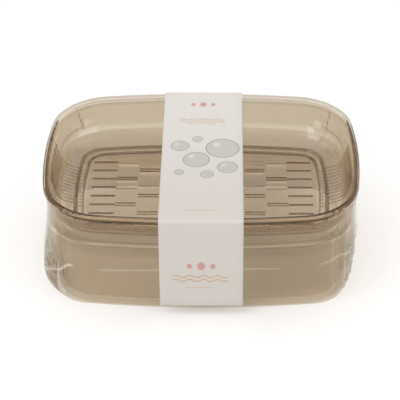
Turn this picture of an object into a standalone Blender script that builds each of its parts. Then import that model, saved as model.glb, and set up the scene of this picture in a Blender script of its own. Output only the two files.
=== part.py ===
"""A two-layer soap dish: a drain tray with a slatted floor that rests in the mouth of a catch box.

A paper band is folded over the middle, and a clear shrink film stands round the box. Metres, +Z up,
the long side along X, the front towards -Y, and the underside of the catch box on Z = 0.
"""

import math

import bmesh
import bpy

MM = 0.001
DEGREE = math.pi / 180

# Gaps between pieces that touch on the real dish, and the distance at which points become one.
REST_GAP = 0.3 * MM
WELD = 0.001 * MM

# Lip of the tray, the widest outline of the dish.
LIP_LENGTH = 140 * MM
LIP_WIDTH = 103.4 * MM
LIP_CORNER = 27 * MM
END_ARC = 211 * MM
SIDE_ARC = 420 * MM
LIP_TOP = 50 * MM
LIP_EDGE = 0.8 * MM
EDGE_SHARE = 0.3

# Bowl of the tray: one wall thickness all over. Each row of the inside is the drop below the lip top
# and the inset from the lip outline at the ends and at the long sides, as shares of the full ones.
# The outside starts under the lip, at the neck row.
TRAY_WALL = 1.8 * MM
BOWL_DEPTH = 20.2 * MM
BOWL_END_INSET = 17.6 * MM
BOWL_SIDE_INSET = 21 * MM
FLOOR_CORNER = 7.7 * MM
BOWL_SHARES = (
    (0.0, 0.1, 0.091),
    (0.01, 0.13, 0.121),
    (0.033, 0.148, 0.142),
    (0.07, 0.157, 0.152),
    (0.198, 0.188, 0.2),
    (0.396, 0.244, 0.286),
    (0.545, 0.295, 0.376),
    (0.663, 0.36, 0.48),
    (0.74, 0.44, 0.59),
    (0.79, 0.53, 0.7),
    (0.822, 0.65, 0.8),
    (0.843, 0.765, 0.878),
    (0.912, 0.83, 0.897),
    (0.922, 0.935, 0.957),
    (0.985, 0.967, 0.976),
    (1.0, 1.0, 1.0),
)
BOWL_INSIDE = tuple(
    (drop * BOWL_DEPTH, end * BOWL_END_INSET, side * BOWL_SIDE_INSET) for drop, end, side in BOWL_SHARES
)
NECK_ROW = 3
FLOOR_TOP = LIP_TOP - BOWL_DEPTH
FLOOR_REACH = LIP_LENGTH / 2 - BOWL_END_INSET
FLOOR_HALF = LIP_WIDTH / 2 - BOWL_SIDE_INSET

# Flutes: half-round ribs down both end walls, spread over a share of the lip width.
FLUTES_PER_END = 12
FLUTED_SHARE = 0.271
FLUTE_PITCH = LIP_WIDTH * FLUTED_SHARE / (FLUTES_PER_END - 1)
FLUTE_RADIUS = 0.7 * MM
FLUTE_SUNK = 0.25 * MM
FLUTE_FIRST_ROW = 4
FLUTE_LAST_ROW = 13

# Slatted floor: lines across the floor one pitch apart, and raised slats in columns. The two kinds
# of column have their drain slots by different lines, each a setback in front of its line, which gives
# the floor its woven look.
LINES = 8
LINE_PITCH_SHARE = 0.2205
LINE_PITCH = FLOOR_HALF * LINE_PITCH_SHARE
GROOVE_WIDTH = 0.6 * MM
GROOVE_DEPTH = 0.9 * MM
GROOVE_REACH_SHARE = 0.954
SLOT_WIDTH = 1.5 * MM
SLOT_SETBACK = 0.9 * MM
SLAT_RISE = 0.6 * MM
SLAT_CHAMFER = 0.25 * MM
SLAT_SIDE_GAP = 0.35 * MM
SLAT_END_GAP = 0.3 * MM
COLUMN_SHARES = (-0.744, -0.553, -0.363, -0.121, 0.121, 0.363, 0.553, 0.744)
COLUMN_KINDS = "ABABABA"
SLOT_LINES = {"A": (0, 2, 5, 7), "B": (1, 4, 6)}
SLAT_SPLITS = {"A": 3.33, "B": 3.0}

# Catch box: the outline of the lip set in by an overhang, with straight walls and corners that open
# out towards the mouth. Its rim is a flat ledge round the mouth, which stands as high as the bowl lets
# it, so that the bowl rests on it at both ends.
END_OVERHANG = 4.6 * MM
SIDE_OVERHANG = 5.3 * MM
BOX_CORNER = 19 * MM
MOUTH_CORNER = 24 * MM
RIM_REACH = 2 * MM
RIM_THICK = 1.6 * MM
BOX_WALL = 1.8 * MM
BOX_FLOOR = 1.8 * MM
BOX_EDGE = 1.2 * MM
RIM_EDGE = 0.5 * MM
BOX_FILLET = 2.5 * MM

# Shrink film: a wall round the box that bulges out below the lip. Each row is its height, how far
# it leans from the box wall out to the lip outline at the left end, the right end and the sides,
# how round its corners are, and how straight its left end is, all as shares.
FILM_THICK = 0.25 * MM
FILM_GAP = 0.35 * MM
FILM_FOOT = 0.4 * MM
FILM_BELOW_LIP = 1.6 * MM
FILM_CORNER = 15 * MM
FILM_SHARES = (
    (0.0, -0.02, -0.02, 0.02, 0.08, 0.3),
    (0.045, 0.36, 0.11, 0.04, 0.0, 0.58),
    (0.12, 0.82, 0.42, 0.07, 0.0, 0.77),
    (0.22, 0.99, 0.64, 0.13, 0.06, 0.87),
    (0.327, 0.99, 0.77, 0.21, 0.13, 0.87),
    (0.446, 0.97, 0.88, 0.33, 0.4, 0.7),
    (0.576, 0.89, 0.9, 0.44, 0.58, 0.4),
    (0.727, 0.78, 0.85, 0.59, 0.75, 0.08),
    (0.879, 0.7, 0.82, 0.77, 0.92, 0.0),
    (1.0, 0.76, 0.86, 0.89, 0.96, 0.0),
)

# Paper band: a strip over the lip with one panel hanging in front and one behind.
BAND_WIDTH = 35.9 * MM
BAND_THICK = 0.4 * MM
BAND_OFFSET = 0.4 * MM
BAND_ASIDE = 0.4 * MM
BAND_FOLD = 1.4 * MM
BAND_END = 5.4 * MM
BAND_STEPS = 4

# Steps round a quarter of every outline.
END_STEPS = 3
CORNER_STEPS = 8
SIDE_STEPS = 5

part = bpy.data.collections.new("SoapDish")
cutters = bpy.data.collections.new("Cutters")


def start_scene():
    for obj in list(bpy.data.objects):
        bpy.data.objects.remove(obj)
    for group in (part, cutters):
        bpy.context.scene.collection.children.link(group)
    cutters.hide_render = True


def quarter(half_x, half_y, corner, end_arc, side_arc):
    """A quarter of a rounded outline with bowed sides, from the +X end round to the +Y side."""
    end_x = half_x - end_arc
    side_y = half_y - side_arc
    reach_x = end_arc - corner
    reach_y = side_arc - corner
    apart = math.hypot(end_x, side_y)
    along = (reach_x**2 - reach_y**2 + apart**2) / (2 * apart)
    across = math.sqrt(reach_x**2 - along**2)
    to_x = -end_x / apart
    to_y = side_y / apart
    middle_x = end_x + to_x * along - to_y * across
    middle_y = to_y * along + to_x * across
    if middle_x + middle_y < 0:
        middle_x = end_x + to_x * along + to_y * across
        middle_y = to_y * along - to_x * across
    first = math.atan2(middle_y, middle_x - end_x)
    last = math.atan2(middle_y - side_y, middle_x)
    points = []
    for step in range(END_STEPS):
        turn = first * step / END_STEPS
        points.append((end_x + end_arc * math.cos(turn), end_arc * math.sin(turn)))
    for step in range(CORNER_STEPS):
        turn = first + (last - first) * step / CORNER_STEPS
        points.append((middle_x + corner * math.cos(turn), middle_y + corner * math.sin(turn)))
    for step in range(SIDE_STEPS + 1):
        turn = last + (math.pi / 2 - last) * step / SIDE_STEPS
        points.append((side_arc * math.cos(turn), side_y + side_arc * math.sin(turn)))
    return points


def ring(height, left, right, half_y, corner, left_arc, right_arc, side_arc):
    """A closed outline at one height, counter-clockwise from the +X end."""
    east = quarter(right, half_y, corner, right_arc, side_arc)
    west = quarter(left, half_y, corner, left_arc, side_arc)
    points = list(east)
    points += [(-x, y) for x, y in reversed(west[:-1])]
    points += [(-x, -y) for x, y in west[1:]]
    points += [(x, -y) for x, y in reversed(east[1:-1])]
    return [(x, y, height) for x, y in points]


def inset_ring(height, inset_end, inset_side, corner=None):
    """The lip outline drawn in by one inset at the ends and one at the long sides."""
    mean = (inset_end + inset_side) / 2
    half_x = LIP_LENGTH / 2 - inset_end
    half_y = LIP_WIDTH / 2 - inset_side
    share = mean / ((BOWL_END_INSET + BOWL_SIDE_INSET) / 2)
    radius = LIP_CORNER + (FLOOR_CORNER - LIP_CORNER) * share if corner is None else corner
    end_arc = END_ARC - mean
    return ring(height, half_x, half_x, half_y, radius, end_arc, end_arc, SIDE_ARC - mean)


def loft(name, rings, group):
    """A solid through a stack of outlines with the same count of points, closed by its first and last."""
    mesh = bpy.data.meshes.new(name)
    shape = bmesh.new()
    rows = [[shape.verts.new(point) for point in points] for points in rings]
    for low, high in zip(rows, rows[1:]):
        count = len(low)
        for index in range(count):
            after = (index + 1) % count
            shape.faces.new((low[index], low[after], high[after], high[index]))
    shape.faces.new(list(reversed(rows[0])))
    shape.faces.new(rows[-1])
    bmesh.ops.recalc_face_normals(shape, faces=shape.faces)
    shape.to_mesh(mesh)
    shape.free()
    return add_object(name, mesh, group)


def add_object(name, data, group):
    obj = bpy.data.objects.new(name, data)
    group.objects.link(obj)
    if group is cutters:
        obj.display_type = "WIRE"
    return obj


def boxes(name, blocks, chamfer):
    """Upright blocks (x from, x to, y from, y to, z from, z to) in one mesh, with chamfered tops."""
    shape = bmesh.new()
    for x0, x1, y0, y1, z0, z1 in blocks:
        made = bmesh.ops.create_cube(shape, size=1)["verts"]
        for vert in made:
            vert.co.x = x1 if vert.co.x > 0 else x0
            vert.co.y = y1 if vert.co.y > 0 else y0
            vert.co.z = z1 if vert.co.z > 0 else z0
        if chamfer:
            top = {edge for vert in made for edge in vert.link_edges if all(v.co.z == z1 for v in edge.verts)}
            bmesh.ops.bevel(shape, geom=list(top), offset=chamfer, segments=1, affect="EDGES")
    bmesh.ops.recalc_face_normals(shape, faces=shape.faces)
    mesh = bpy.data.meshes.new(name)
    shape.to_mesh(mesh)
    shape.free()
    return add_object(name, mesh, cutters)


def boolean(obj, other, operation):
    step = obj.modifiers.new(other.name, "BOOLEAN")
    step.operation = operation
    step.solver = "EXACT"
    step.object = other


def outer_profile(index):
    """The inside profile moved out by the wall thickness, as (drop, inset) pairs."""
    line = [(row[0], row[index]) for row in BOWL_INSIDE]
    moved = []
    for place, (drop, inset) in enumerate(line):
        before = line[max(place - 1, 0)]
        after = line[min(place + 1, len(line) - 1)]
        down = after[0] - before[0]
        inward = after[1] - before[1]
        length = math.hypot(down, inward)
        moved.append((drop + TRAY_WALL * inward / length, inset - TRAY_WALL * down / length))
    return moved


def drain_tray():
    """The lipped bowl, its flutes, its slats and its drain slots."""
    ends = outer_profile(1)
    sides = outer_profile(2)
    underside = FLOOR_TOP - TRAY_WALL
    last_end, last_side = BOWL_INSIDE[-1][1:]
    rings = [inset_ring(underside, last_end, last_side)]
    for (drop, end), (_, side) in reversed(list(zip(ends, sides))[NECK_ROW + 1 : -1]):
        rings.append(inset_ring(LIP_TOP - drop, end, side))
    neck_end = BOWL_INSIDE[NECK_ROW][1] - TRAY_WALL
    neck_side = BOWL_INSIDE[NECK_ROW][2] - TRAY_WALL
    rings.append(inset_ring(LIP_TOP - TRAY_WALL, neck_end, neck_side))
    low = LIP_TOP - TRAY_WALL
    edge = LIP_EDGE
    part_edge = LIP_EDGE * EDGE_SHARE
    for height, back in ((low, edge), (low + part_edge, part_edge), (low + edge, 0)):
        rings.append(inset_ring(height, back, back))
    for height, back in ((LIP_TOP - edge, 0), (LIP_TOP - part_edge, part_edge), (LIP_TOP, edge)):
        rings.append(inset_ring(height, back, back))
    for drop, end, side in BOWL_INSIDE:
        rings.append(inset_ring(LIP_TOP - drop, end, side))
    tray = loft("drain_tray", rings, part)
    boolean(tray, flutes(), "UNION")
    boolean(tray, boxes("floor_slats", slat_blocks(), SLAT_CHAMFER), "UNION")
    boolean(tray, boxes("floor_openings", slot_blocks(), 0), "DIFFERENCE")
    return tray


def flutes():
    """Half-round ribs down the end walls, each following the wall from below the lip to the floor step."""
    curve = bpy.data.curves.new("flutes", "CURVE")
    curve.dimensions = "3D"
    curve.bevel_depth = FLUTE_RADIUS
    curve.bevel_resolution = 1
    curve.use_fill_caps = True
    rows = BOWL_INSIDE[FLUTE_FIRST_ROW : FLUTE_LAST_ROW + 1]
    for side in (-1, 1):
        for index in range(FLUTES_PER_END):
            y = (index - (FLUTES_PER_END - 1) / 2) * FLUTE_PITCH
            line = curve.splines.new("POLY")
            line.points.add(len(rows) - 1)
            for point, (drop, inset, _) in zip(line.points, rows):
                arc = END_ARC - inset
                x = LIP_LENGTH / 2 - inset - arc + math.sqrt(arc**2 - y**2)
                point.co = (side * (x + FLUTE_SUNK), y, LIP_TOP - drop - FLUTE_SUNK, 1)
    guide = add_object("flute_lines", curve, cutters)
    mesh = bpy.data.meshes.new_from_object(guide)
    bpy.data.objects.remove(guide)
    shape = bmesh.new()
    shape.from_mesh(mesh)
    bmesh.ops.remove_doubles(shape, verts=shape.verts, dist=WELD)
    bmesh.ops.recalc_face_normals(shape, faces=shape.faces)
    shape.to_mesh(mesh)
    shape.free()
    return add_object("flute_ribs", mesh, cutters)


def columns():
    """(x from, x to, kind) of each slat column, mirrored about the middle."""
    edges = [share * FLOOR_REACH for share in COLUMN_SHARES]
    return list(zip(edges, edges[1:], COLUMN_KINDS))


def line_y(number):
    """How far back on the floor a line runs, counted from the one nearest the back."""
    return ((LINES - 1) / 2 - number) * LINE_PITCH


def slot_blocks():
    """Drain slots through the floor, and the thin grooves between the slats at both ends."""
    top = FLOOR_TOP + 2 * SLAT_RISE
    through = FLOOR_TOP - 2 * TRAY_WALL
    blocks = []
    for x0, x1, kind in columns():
        for number in SLOT_LINES[kind]:
            y = line_y(number)
            near = y - SLOT_SETBACK - SLOT_WIDTH
            blocks.append((x0 + SLAT_SIDE_GAP, x1 - SLAT_SIDE_GAP, near, near + SLOT_WIDTH, through, top))
    half = GROOVE_WIDTH / 2
    inner = COLUMN_SHARES[-1] * FLOOR_REACH - SLAT_SIDE_GAP / 2
    outer = GROOVE_REACH_SHARE * FLOOR_REACH
    for number in range(LINES):
        y = line_y(number)
        for x0, x1 in ((-outer, -inner), (inner, outer)):
            blocks.append((x0, x1, y - half, y + half, FLOOR_TOP - GROOVE_DEPTH, top))
    return blocks


def slat_blocks():
    """Raised slats between the drain slots of each column."""
    low = FLOOR_TOP - TRAY_WALL / 2
    high = FLOOR_TOP + SLAT_RISE
    front = line_y(LINES - 1) - SLOT_SETBACK
    blocks = []
    for x0, x1, kind in columns():
        lines = SLOT_LINES[kind]
        split = line_y(SLAT_SPLITS[kind])
        backs = [(line_y(number) - SLOT_SETBACK - SLOT_WIDTH - SLAT_END_GAP) for number in lines]
        fronts = [(line_y(number) + SLAT_END_GAP) for number in lines[1:]] + [front]
        if kind == "B":
            backs.insert(0, line_y(0))
            fronts.insert(0, line_y(lines[0]) + SLAT_END_GAP)
        for back, near in zip(backs, fronts):
            runs = [(back, near)]
            if near < split < back:
                runs = [(back, split + SLAT_SIDE_GAP / 2), (split - SLAT_SIDE_GAP / 2, near)]
            for begin, end in runs:
                if begin - end > SLOT_WIDTH:
                    blocks.append((x0 + SLAT_SIDE_GAP, x1 - SLAT_SIDE_GAP, end, begin, low, high))
    return blocks


def box_height():
    """The height at which the outside of the bowl, at the ends, comes as far in as the mouth of the box."""
    mouth = END_OVERHANG + BOX_WALL + REST_GAP
    line = outer_profile(1)
    for (drop, inset), (next_drop, next_inset) in zip(line, line[1:]):
        if inset <= mouth < next_inset:
            share = (mouth - inset) / (next_inset - inset)
            return LIP_TOP - drop - share * (next_drop - drop)
    return FLOOR_TOP - TRAY_WALL - REST_GAP


def box_ring(height, back):
    """The outside of the box walls drawn in by one distance."""
    corner = BOX_CORNER + (MOUTH_CORNER - BOX_CORNER) * height / box_height()
    return inset_ring(height, END_OVERHANG + back, SIDE_OVERHANG + back, corner - back)


def catch_box():
    """The open box under the tray, with a rounded bottom edge, a rim ledge and a filleted inside."""
    top = box_height()
    rings = [box_ring(0, BOX_EDGE)]
    for turn in (30, 60, 90):
        up = BOX_EDGE * (1 - math.cos(turn * DEGREE))
        rings.append(box_ring(up, BOX_EDGE * (1 - math.sin(turn * DEGREE))))
    ledge = top - RIM_THICK
    for height, out in ((ledge, 0), (ledge, RIM_REACH - RIM_EDGE), (ledge + RIM_EDGE, RIM_REACH)):
        rings.append(box_ring(height, -out))
    for height, out in ((top - RIM_EDGE, RIM_REACH), (top, RIM_REACH - RIM_EDGE)):
        rings.append(box_ring(height, -out))
    rings.append(box_ring(top, BOX_WALL - RIM_EDGE))
    rings.append(box_ring(top - RIM_EDGE, BOX_WALL))
    for turn in (0, 30, 60, 90):
        up = BOX_FLOOR + BOX_FILLET * (1 - math.sin(turn * DEGREE))
        rings.append(box_ring(up, BOX_WALL + BOX_FILLET * (1 - math.cos(turn * DEGREE))))
    return loft("catch_box", rings, part)


def film_ring(row, thick):
    """One outline of the film, drawn in by its thickness for the inner face."""
    up, left, right, side, round_share, straight = row
    head = LIP_TOP - TRAY_WALL - FILM_BELOW_LIP
    height = FILM_FOOT + (head - FILM_FOOT) * up
    end_stand = END_OVERHANG - FILM_GAP - FILM_THICK
    side_stand = SIDE_OVERHANG - FILM_GAP - FILM_THICK
    corner = FILM_CORNER + (LIP_CORNER - FILM_CORNER) * round_share
    half_left = LIP_LENGTH / 2 - end_stand * (1 - left) - thick
    half_right = LIP_LENGTH / 2 - end_stand * (1 - right) - thick
    half_y = LIP_WIDTH / 2 - side_stand * (1 - side) - thick
    left_arc = END_ARC / (1 - straight)
    return ring(height, half_left, half_right, half_y, corner - thick, left_arc, END_ARC, SIDE_ARC)


def shrink_film():
    """The clear wrap round the box, from just under the lip to the table, bulging at both ends."""
    rings = [film_ring(row, 0) for row in FILM_SHARES]
    rings += [film_ring(row, FILM_THICK) for row in reversed(FILM_SHARES)]
    return open_loft("shrink_film", rings, part)


def open_loft(name, rings, group):
    """A loft whose last outline joins its first, so that it is a wall with no floor or top."""
    mesh = bpy.data.meshes.new(name)
    shape = bmesh.new()
    rows = [[shape.verts.new(point) for point in points] for points in rings]
    for low, high in zip(rows, rows[1:] + rows[:1]):
        count = len(low)
        for index in range(count):
            after = (index + 1) % count
            shape.faces.new((low[index], low[after], high[after], high[index]))
    bmesh.ops.recalc_face_normals(shape, faces=shape.faces)
    shape.to_mesh(mesh)
    shape.free()
    return add_object(name, mesh, group)


def paper_band():
    """The card strip folded over the lip, as a line bent in the YZ plane, widened and thickened."""
    reach = LIP_WIDTH / 2 + BAND_OFFSET
    top = LIP_TOP + REST_GAP
    bend = []
    for step in range(BAND_STEPS + 1):
        turn = math.pi / 2 * step / BAND_STEPS
        out = BAND_FOLD * (1 - math.cos(turn))
        down = BAND_FOLD * (1 - math.sin(turn))
        bend.append((reach - out, top - down))
    line = [(reach, BAND_END)] + bend
    line += [(-y, z) for y, z in reversed(line)]
    shape = bmesh.new()
    west = [shape.verts.new((BAND_ASIDE - BAND_WIDTH / 2, y, z)) for y, z in line]
    east = [shape.verts.new((BAND_ASIDE + BAND_WIDTH / 2, y, z)) for y, z in line]
    for index in range(len(line) - 1):
        shape.faces.new((west[index], west[index + 1], east[index + 1], east[index]))
    bmesh.ops.recalc_face_normals(shape, faces=shape.faces)
    mesh = bpy.data.meshes.new("paper_band")
    shape.to_mesh(mesh)
    shape.free()
    band = add_object("paper_band", mesh, part)
    thick = band.modifiers.new("thickness", "SOLIDIFY")
    thick.thickness = BAND_THICK
    thick.offset = 1
    thick.use_even_offset = True
    return band


def material(name, colour, roughness, alpha=1):
    made = bpy.data.materials.new(name)
    made.use_nodes = True
    shader = made.node_tree.nodes["Principled BSDF"]
    shader.inputs["Base Color"].default_value = (*colour, 1)
    shader.inputs["Roughness"].default_value = roughness
    shader.inputs["Alpha"].default_value = alpha
    return made


def main():
    start_scene()
    pieces = (
        (catch_box(), material("smoky_box_plastic", (0.36, 0.27, 0.18), 0.15, 0.6)),
        (drain_tray(), material("smoky_tray_plastic", (0.38, 0.29, 0.2), 0.15, 0.6)),
        (shrink_film(), material("clear_film", (0.8, 0.78, 0.74), 0.1, 0.3)),
        (paper_band(), material("coated_card", (0.82, 0.77, 0.71), 0.6)),
    )
    for obj, look in pieces:
        obj.data.materials.append(look)


main()
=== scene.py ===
import math

import bmesh
import bpy
import numpy as np
from mathutils import Matrix, Vector, noise


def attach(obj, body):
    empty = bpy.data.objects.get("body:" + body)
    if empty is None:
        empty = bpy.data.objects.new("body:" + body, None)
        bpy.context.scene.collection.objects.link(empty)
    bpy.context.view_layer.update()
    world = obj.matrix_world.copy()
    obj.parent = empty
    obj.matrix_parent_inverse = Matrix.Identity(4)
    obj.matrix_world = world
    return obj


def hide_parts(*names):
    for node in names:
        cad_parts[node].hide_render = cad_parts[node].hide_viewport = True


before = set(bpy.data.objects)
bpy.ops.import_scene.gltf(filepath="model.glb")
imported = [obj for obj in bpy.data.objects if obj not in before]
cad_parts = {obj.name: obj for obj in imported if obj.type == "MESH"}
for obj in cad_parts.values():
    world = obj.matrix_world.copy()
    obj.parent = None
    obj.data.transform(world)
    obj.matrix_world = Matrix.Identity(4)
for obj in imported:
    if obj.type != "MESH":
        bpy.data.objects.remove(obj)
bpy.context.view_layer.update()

MM = 0.001
DEGREE = math.pi / 180

# Sizes of the dish that the looks follow, as in the part's source.
LIP_LENGTH = 140 * MM
LIP_WIDTH = 103.4 * MM
LIP_CORNER = 27 * MM
LIP_TOP = 50 * MM
TRAY_WALL = 1.8 * MM
END_ARC = 211 * MM
SIDE_ARC = 420 * MM
END_OVERHANG = 4.6 * MM
SIDE_OVERHANG = 5.3 * MM
FLUTES_PER_END = 12
FLUTED_SHARE = 0.271
FLUTE_PITCH = LIP_WIDTH * FLUTED_SHARE / (FLUTES_PER_END - 1)
FLOOR_REACH = 52.4 * MM
FLOOR_HALF = 30.7 * MM
LINES = 8
LINE_PITCH_SHARE = 0.2205
LINE_PITCH = FLOOR_HALF * LINE_PITCH_SHARE
COLUMN_SHARES = (-0.744, -0.553, -0.363, -0.121, 0.121, 0.363, 0.553, 0.744)
COLUMN_KINDS = "ABABABA"
SLOT_LINES = {"A": (0, 2, 5, 7), "B": (1, 4, 6)}
SLOT_NEAR = 2.4 * MM
FILM_WALL = 0.25 * MM
FILM_GAP = 0.35 * MM
FILM_FOOT = 0.4 * MM
FILM_BELOW_LIP = 1.6 * MM
FILM_CORNER = 15 * MM

# Painted shade and painted highlights on the tray, in object millimetres: from, to and how soft. These are
# heights.
UPPER_STEP = (31.65, 33.1, 0.12)
LOWER_STEP = (29.95, 31.35, 0.12)
STEP_GAP = (31.3, 31.7, 0.1)
END_LINE = (39.4, 40.6, 0.35)
INNER_EDGE = (48.8, 49.9, 0.08)
OUTER_EDGE = (46.1, 49.15, 0.15)
LIP_CREST = (49.3, 49.9, 0.1)
LIP_SHADE = (48.3, 49.3, 0.2)
BACK_HIGHLIGHT = (33.6, 37.6, 0.6)
LOW_RIBS = (30.0, 39.4, 0.4)
HIGH_RIBS = (39.0, 47.0, 0.8)
# These are distances in from the outer edge of the lip.
NEAR_LINE = (1.6, 3.2, 0.12)
FAR_LINE = (1.2, 2.1, 0.15)
LIP_HIGHLIGHT = (0.5, 1.6, 0.15)
# Where parts of the tray begin, from not there to fully there. These are heights.
LIP_LEVEL = (49.2, 49.6)
WALL_TOP = (47.9, 48.3)
COVE = (35.2, 33.0)
FLOOR_LEVEL = (30.6, 30.45)
STEP_FOOT = (29.75, 29.9)
SLOT_WALL = (29.2, 29.4)
GROOVE_BOTTOM = (29.2, 29.0)
# These are distances from the middle, along and across, and the front of the lip in y.
FLOOR_END = (52.0, 51.6)
FLOOR_SIDE = (31.0, 30.6)
RIBS_FROM = (50.5, 52.0)
RIBS_SIDE = (15.6, 14.6)
FRONT_LIP = (-30.0, -42.0)
# One painted rib line, as a share of the pitch.
RIB_SHARE = (0.3, 0.7, 0.06)
# How far from its middle the bow of an end and of a side reaches, before the corner begins.
END_BOW_STOP = 22.5
SIDE_BOW_STOP = 41.6
# The painted highlight in front of a drain slot: from and to, and how far it keeps from the sides of its
# column.
SLOT_HIGHLIGHT = (-0.95, -0.25)
SLOT_INSET = 0.4

# The card's motifs, in object millimetres: how soft their edges are, and how far a drop is drawn out,
# where 1 is round.
PRINT_SOFT = 0.1
DROP_SQUASH = 0.8
# Ripples: where the line lies, half its length, its swing, one wave's length, and half its thickness.
TOP_RIPPLES = (
    (27.5, 10.5, 0.55, 5.25, 0.3),
    (25.6, 10.5, 0.55, 5.25, 0.3),
    (23.7, 6.5, 0.55, 5.25, 0.18),
    (-44.0, 8.0, 0.4, 4.0, 0.14),
)
FRONT_RIPPLES = (
    (21.5, 12.0, 0.6, 6.0, 0.34),
    (19.4, 12.0, 0.6, 6.0, 0.34),
    (15.6, 6.0, 0.35, 3.0, 0.16),
)
# Drops: their middle, and how large they are.
TOP_DROPS = ((-4.2, 40.5, 1.0), (0.4, 40.5, 1.5), (5.0, 40.5, 1.0))
FRONT_DROPS = ((-4.6, 27.0, 1.1), (0.4, 27.0, 1.7), (5.4, 27.0, 1.1))
# Bubbles: their middle, how large they are, and how thick the ring is. Only the first ones have a glint.
BUBBLES = (
    (9.4, 3.5, 7.6, 0.55), (-2.2, -5.6, 6.0, 0.5), (11.6, -11.6, 4.6, 0.4), (-9.6, 5.4, 4.2, 0.4),
    (2.6, -17.2, 3.0, 0.34), (-9.6, -15.6, 2.2, 0.3), (-1.8, 11.0, 2.4, 0.3),
)
BUBBLES_WITH_GLINT = 4

# Plastics: how strongly they bend light, what they let through, and what they take out on the way.
TRAY_IOR = 1.15
TRAY_PASS = (0.93, 0.9, 0.87)
TRAY_ABSORB = (14, 23, 37)
BOX_IOR = 1.08
BOX_PASS = (0.95, 0.93, 0.9)
BOX_ABSORB = (3, 5, 8)
FILM_IOR = 1.08
FILM_PASS = (0.95, 0.94, 0.92)
# Their gloss: how strongly it bends light, and how rough it is.
TRAY_COAT = (1.49, 0.02)
BOX_COAT = (1.49, 0.03)
FILM_COAT = (1.45, 0.06)
# Bumps: how strong, and how high in metres.
MOULDED_BUMP = (0.08, 0.02 * MM)
FILM_BUMP = (0.3, 0.25 * MM)
CARD_BUMP = (0.25, 0.03 * MM)

# Colours. A material drifts between its own two, and the others lie over them.
TRAY_COLOURS = ((0.805, 0.732, 0.628, 1), (0.828, 0.755, 0.655, 1))
# Painted shade and painted highlights that lie over the tray's colour.
TRAY_LAYERS = (
    ("Floor_shade", 1.0, (0.59, 0.52, 0.425, 1)),
    ("Lip", 1.0, (0.6, 0.51, 0.415, 1)),
    ("Steps", 0.9, (0.17, 0.13, 0.09, 1)),
    ("Rib_shade", 0.75, (0.24, 0.19, 0.14, 1)),
    ("Slot_and_groove_shade", 0.9, (0.08, 0.055, 0.04, 1)),
    ("Edges", 0.97, (0.03, 0.025, 0.018, 1)),
    ("Under_lip_shadow", 0.95, (0.13, 0.11, 0.08, 1)),
    ("Bright", 0.8, (1.0, 0.97, 0.92, 1)),
)
BOX_COLOURS = ((0.855, 0.815, 0.76, 1), (0.88, 0.84, 0.785, 1))
# Painted shade on the box's wall just under its rim.
BOX_UNDER_RIM_SHADE = (0.74, 0.7, 0.64, 1)
FILM_COLOURS = ((0.665, 0.607, 0.51, 1), (0.69, 0.632, 0.535, 1))
# Painted shade and painted highlights on the film, by where it lies.
FILM_UNDER_LIP_SHADE = (0.5, 0.45, 0.35, 1)
FILM_RING_HIGHLIGHT = (0.93, 0.9, 0.86, 1)
FILM_LOW_CORNER_SHADE = (0.545, 0.485, 0.4, 1)
FILM_BACK_CORNER_LIGHT = (0.8, 0.76, 0.66, 1)
FILM_RIGHT_SHADE = (0.6, 0.54, 0.45, 1)
# Painted highlights on the film's creases and painted shade in its pleats.
FILM_CREASE_HIGHLIGHT = (0.97, 0.95, 0.93, 1)
FILM_PLEAT_SHADE = (0.3, 0.25, 0.18, 1)
# The colour of the creases' faint glow, a painted highlight.
FILM_GLINT = (1.0, 0.97, 0.93, 1)
CARD_COLOURS = ((0.73, 0.685, 0.63, 1), (0.76, 0.715, 0.66, 1))
# Painted light on the card: lighter towards its back.
CARD_PAINTED_LIGHT_BEHIND = (0.86, 0.82, 0.775, 1)
CARD_FIBRES = (0.7, 0.64, 0.57, 1)
CARD_RUBBED = (0.86, 0.83, 0.79, 1)
GREY_INK = (0.27, 0.265, 0.25, 1)
GOLD_INK = (0.62, 0.4, 0.22, 1)
PINK_INK = (0.66, 0.31, 0.27, 1)
FLOOR_WHITE = (0.95, 0.95, 0.95, 1)
BLACK = (0, 0, 0, 1)
WHITE = (1, 1, 1, 1)
# Where painted shade and painted highlights lie on the box and the film, in object millimetres: from, to
# and how soft.
UNDER_RIM_SHADE_HEIGHT = (26.5, 32.0, 2.0)
UNDER_LIP_SHADE_HEIGHT = (36.2, 43.0, 0.7)
RING_HIGHLIGHT_HEIGHT = (34.1, 35.4, 0.25)
RIGHT_SHADE_HEIGHT = (8.0, 33.0, 5.0)
BACK_CORNER_LIGHT_Y = (-1.0, 26.0, 6.0)

# Smooth shading stops at edges that turn by more than this, in degrees.
SHARP_ANGLES = {"drain_tray": 30, "catch_box": 50}
FILM_SHARP_ANGLE = 60

# The film's wall as built here, in rows of points from its foot to its head.
FILM_LEVELS = 72
FILM_THICK = 0.12 * MM
FILM_REACH = LIP_LENGTH / 2 - 0.02 * MM
FILM_CALM_ROWS = 4
END_STEPS, CORNER_STEPS, SIDE_STEPS = 14, 30, 30
# Each row is its height, how far it leans out at the left end, the right end and the sides, how round
# its corners are, and how straight its left end is, all as shares, as in the part's source.
FILM_ROWS = np.array((
    (0.0, -0.02, -0.02, 0.02, 0.08, 0.3),
    (0.045, 0.36, 0.11, 0.04, 0.0, 0.58),
    (0.12, 0.82, 0.42, 0.07, 0.0, 0.77),
    (0.22, 0.99, 0.64, 0.13, 0.06, 0.87),
    (0.327, 0.99, 0.77, 0.21, 0.13, 0.87),
    (0.446, 0.97, 0.88, 0.33, 0.4, 0.7),
    (0.576, 0.89, 0.9, 0.44, 0.58, 0.4),
    (0.727, 0.78, 0.85, 0.59, 0.75, 0.08),
    (0.879, 0.7, 0.82, 0.77, 0.92, 0.0),
    (1.0, 0.76, 0.86, 0.89, 0.96, 0.0),
))
MOST_STRAIGHT = 0.9

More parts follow.
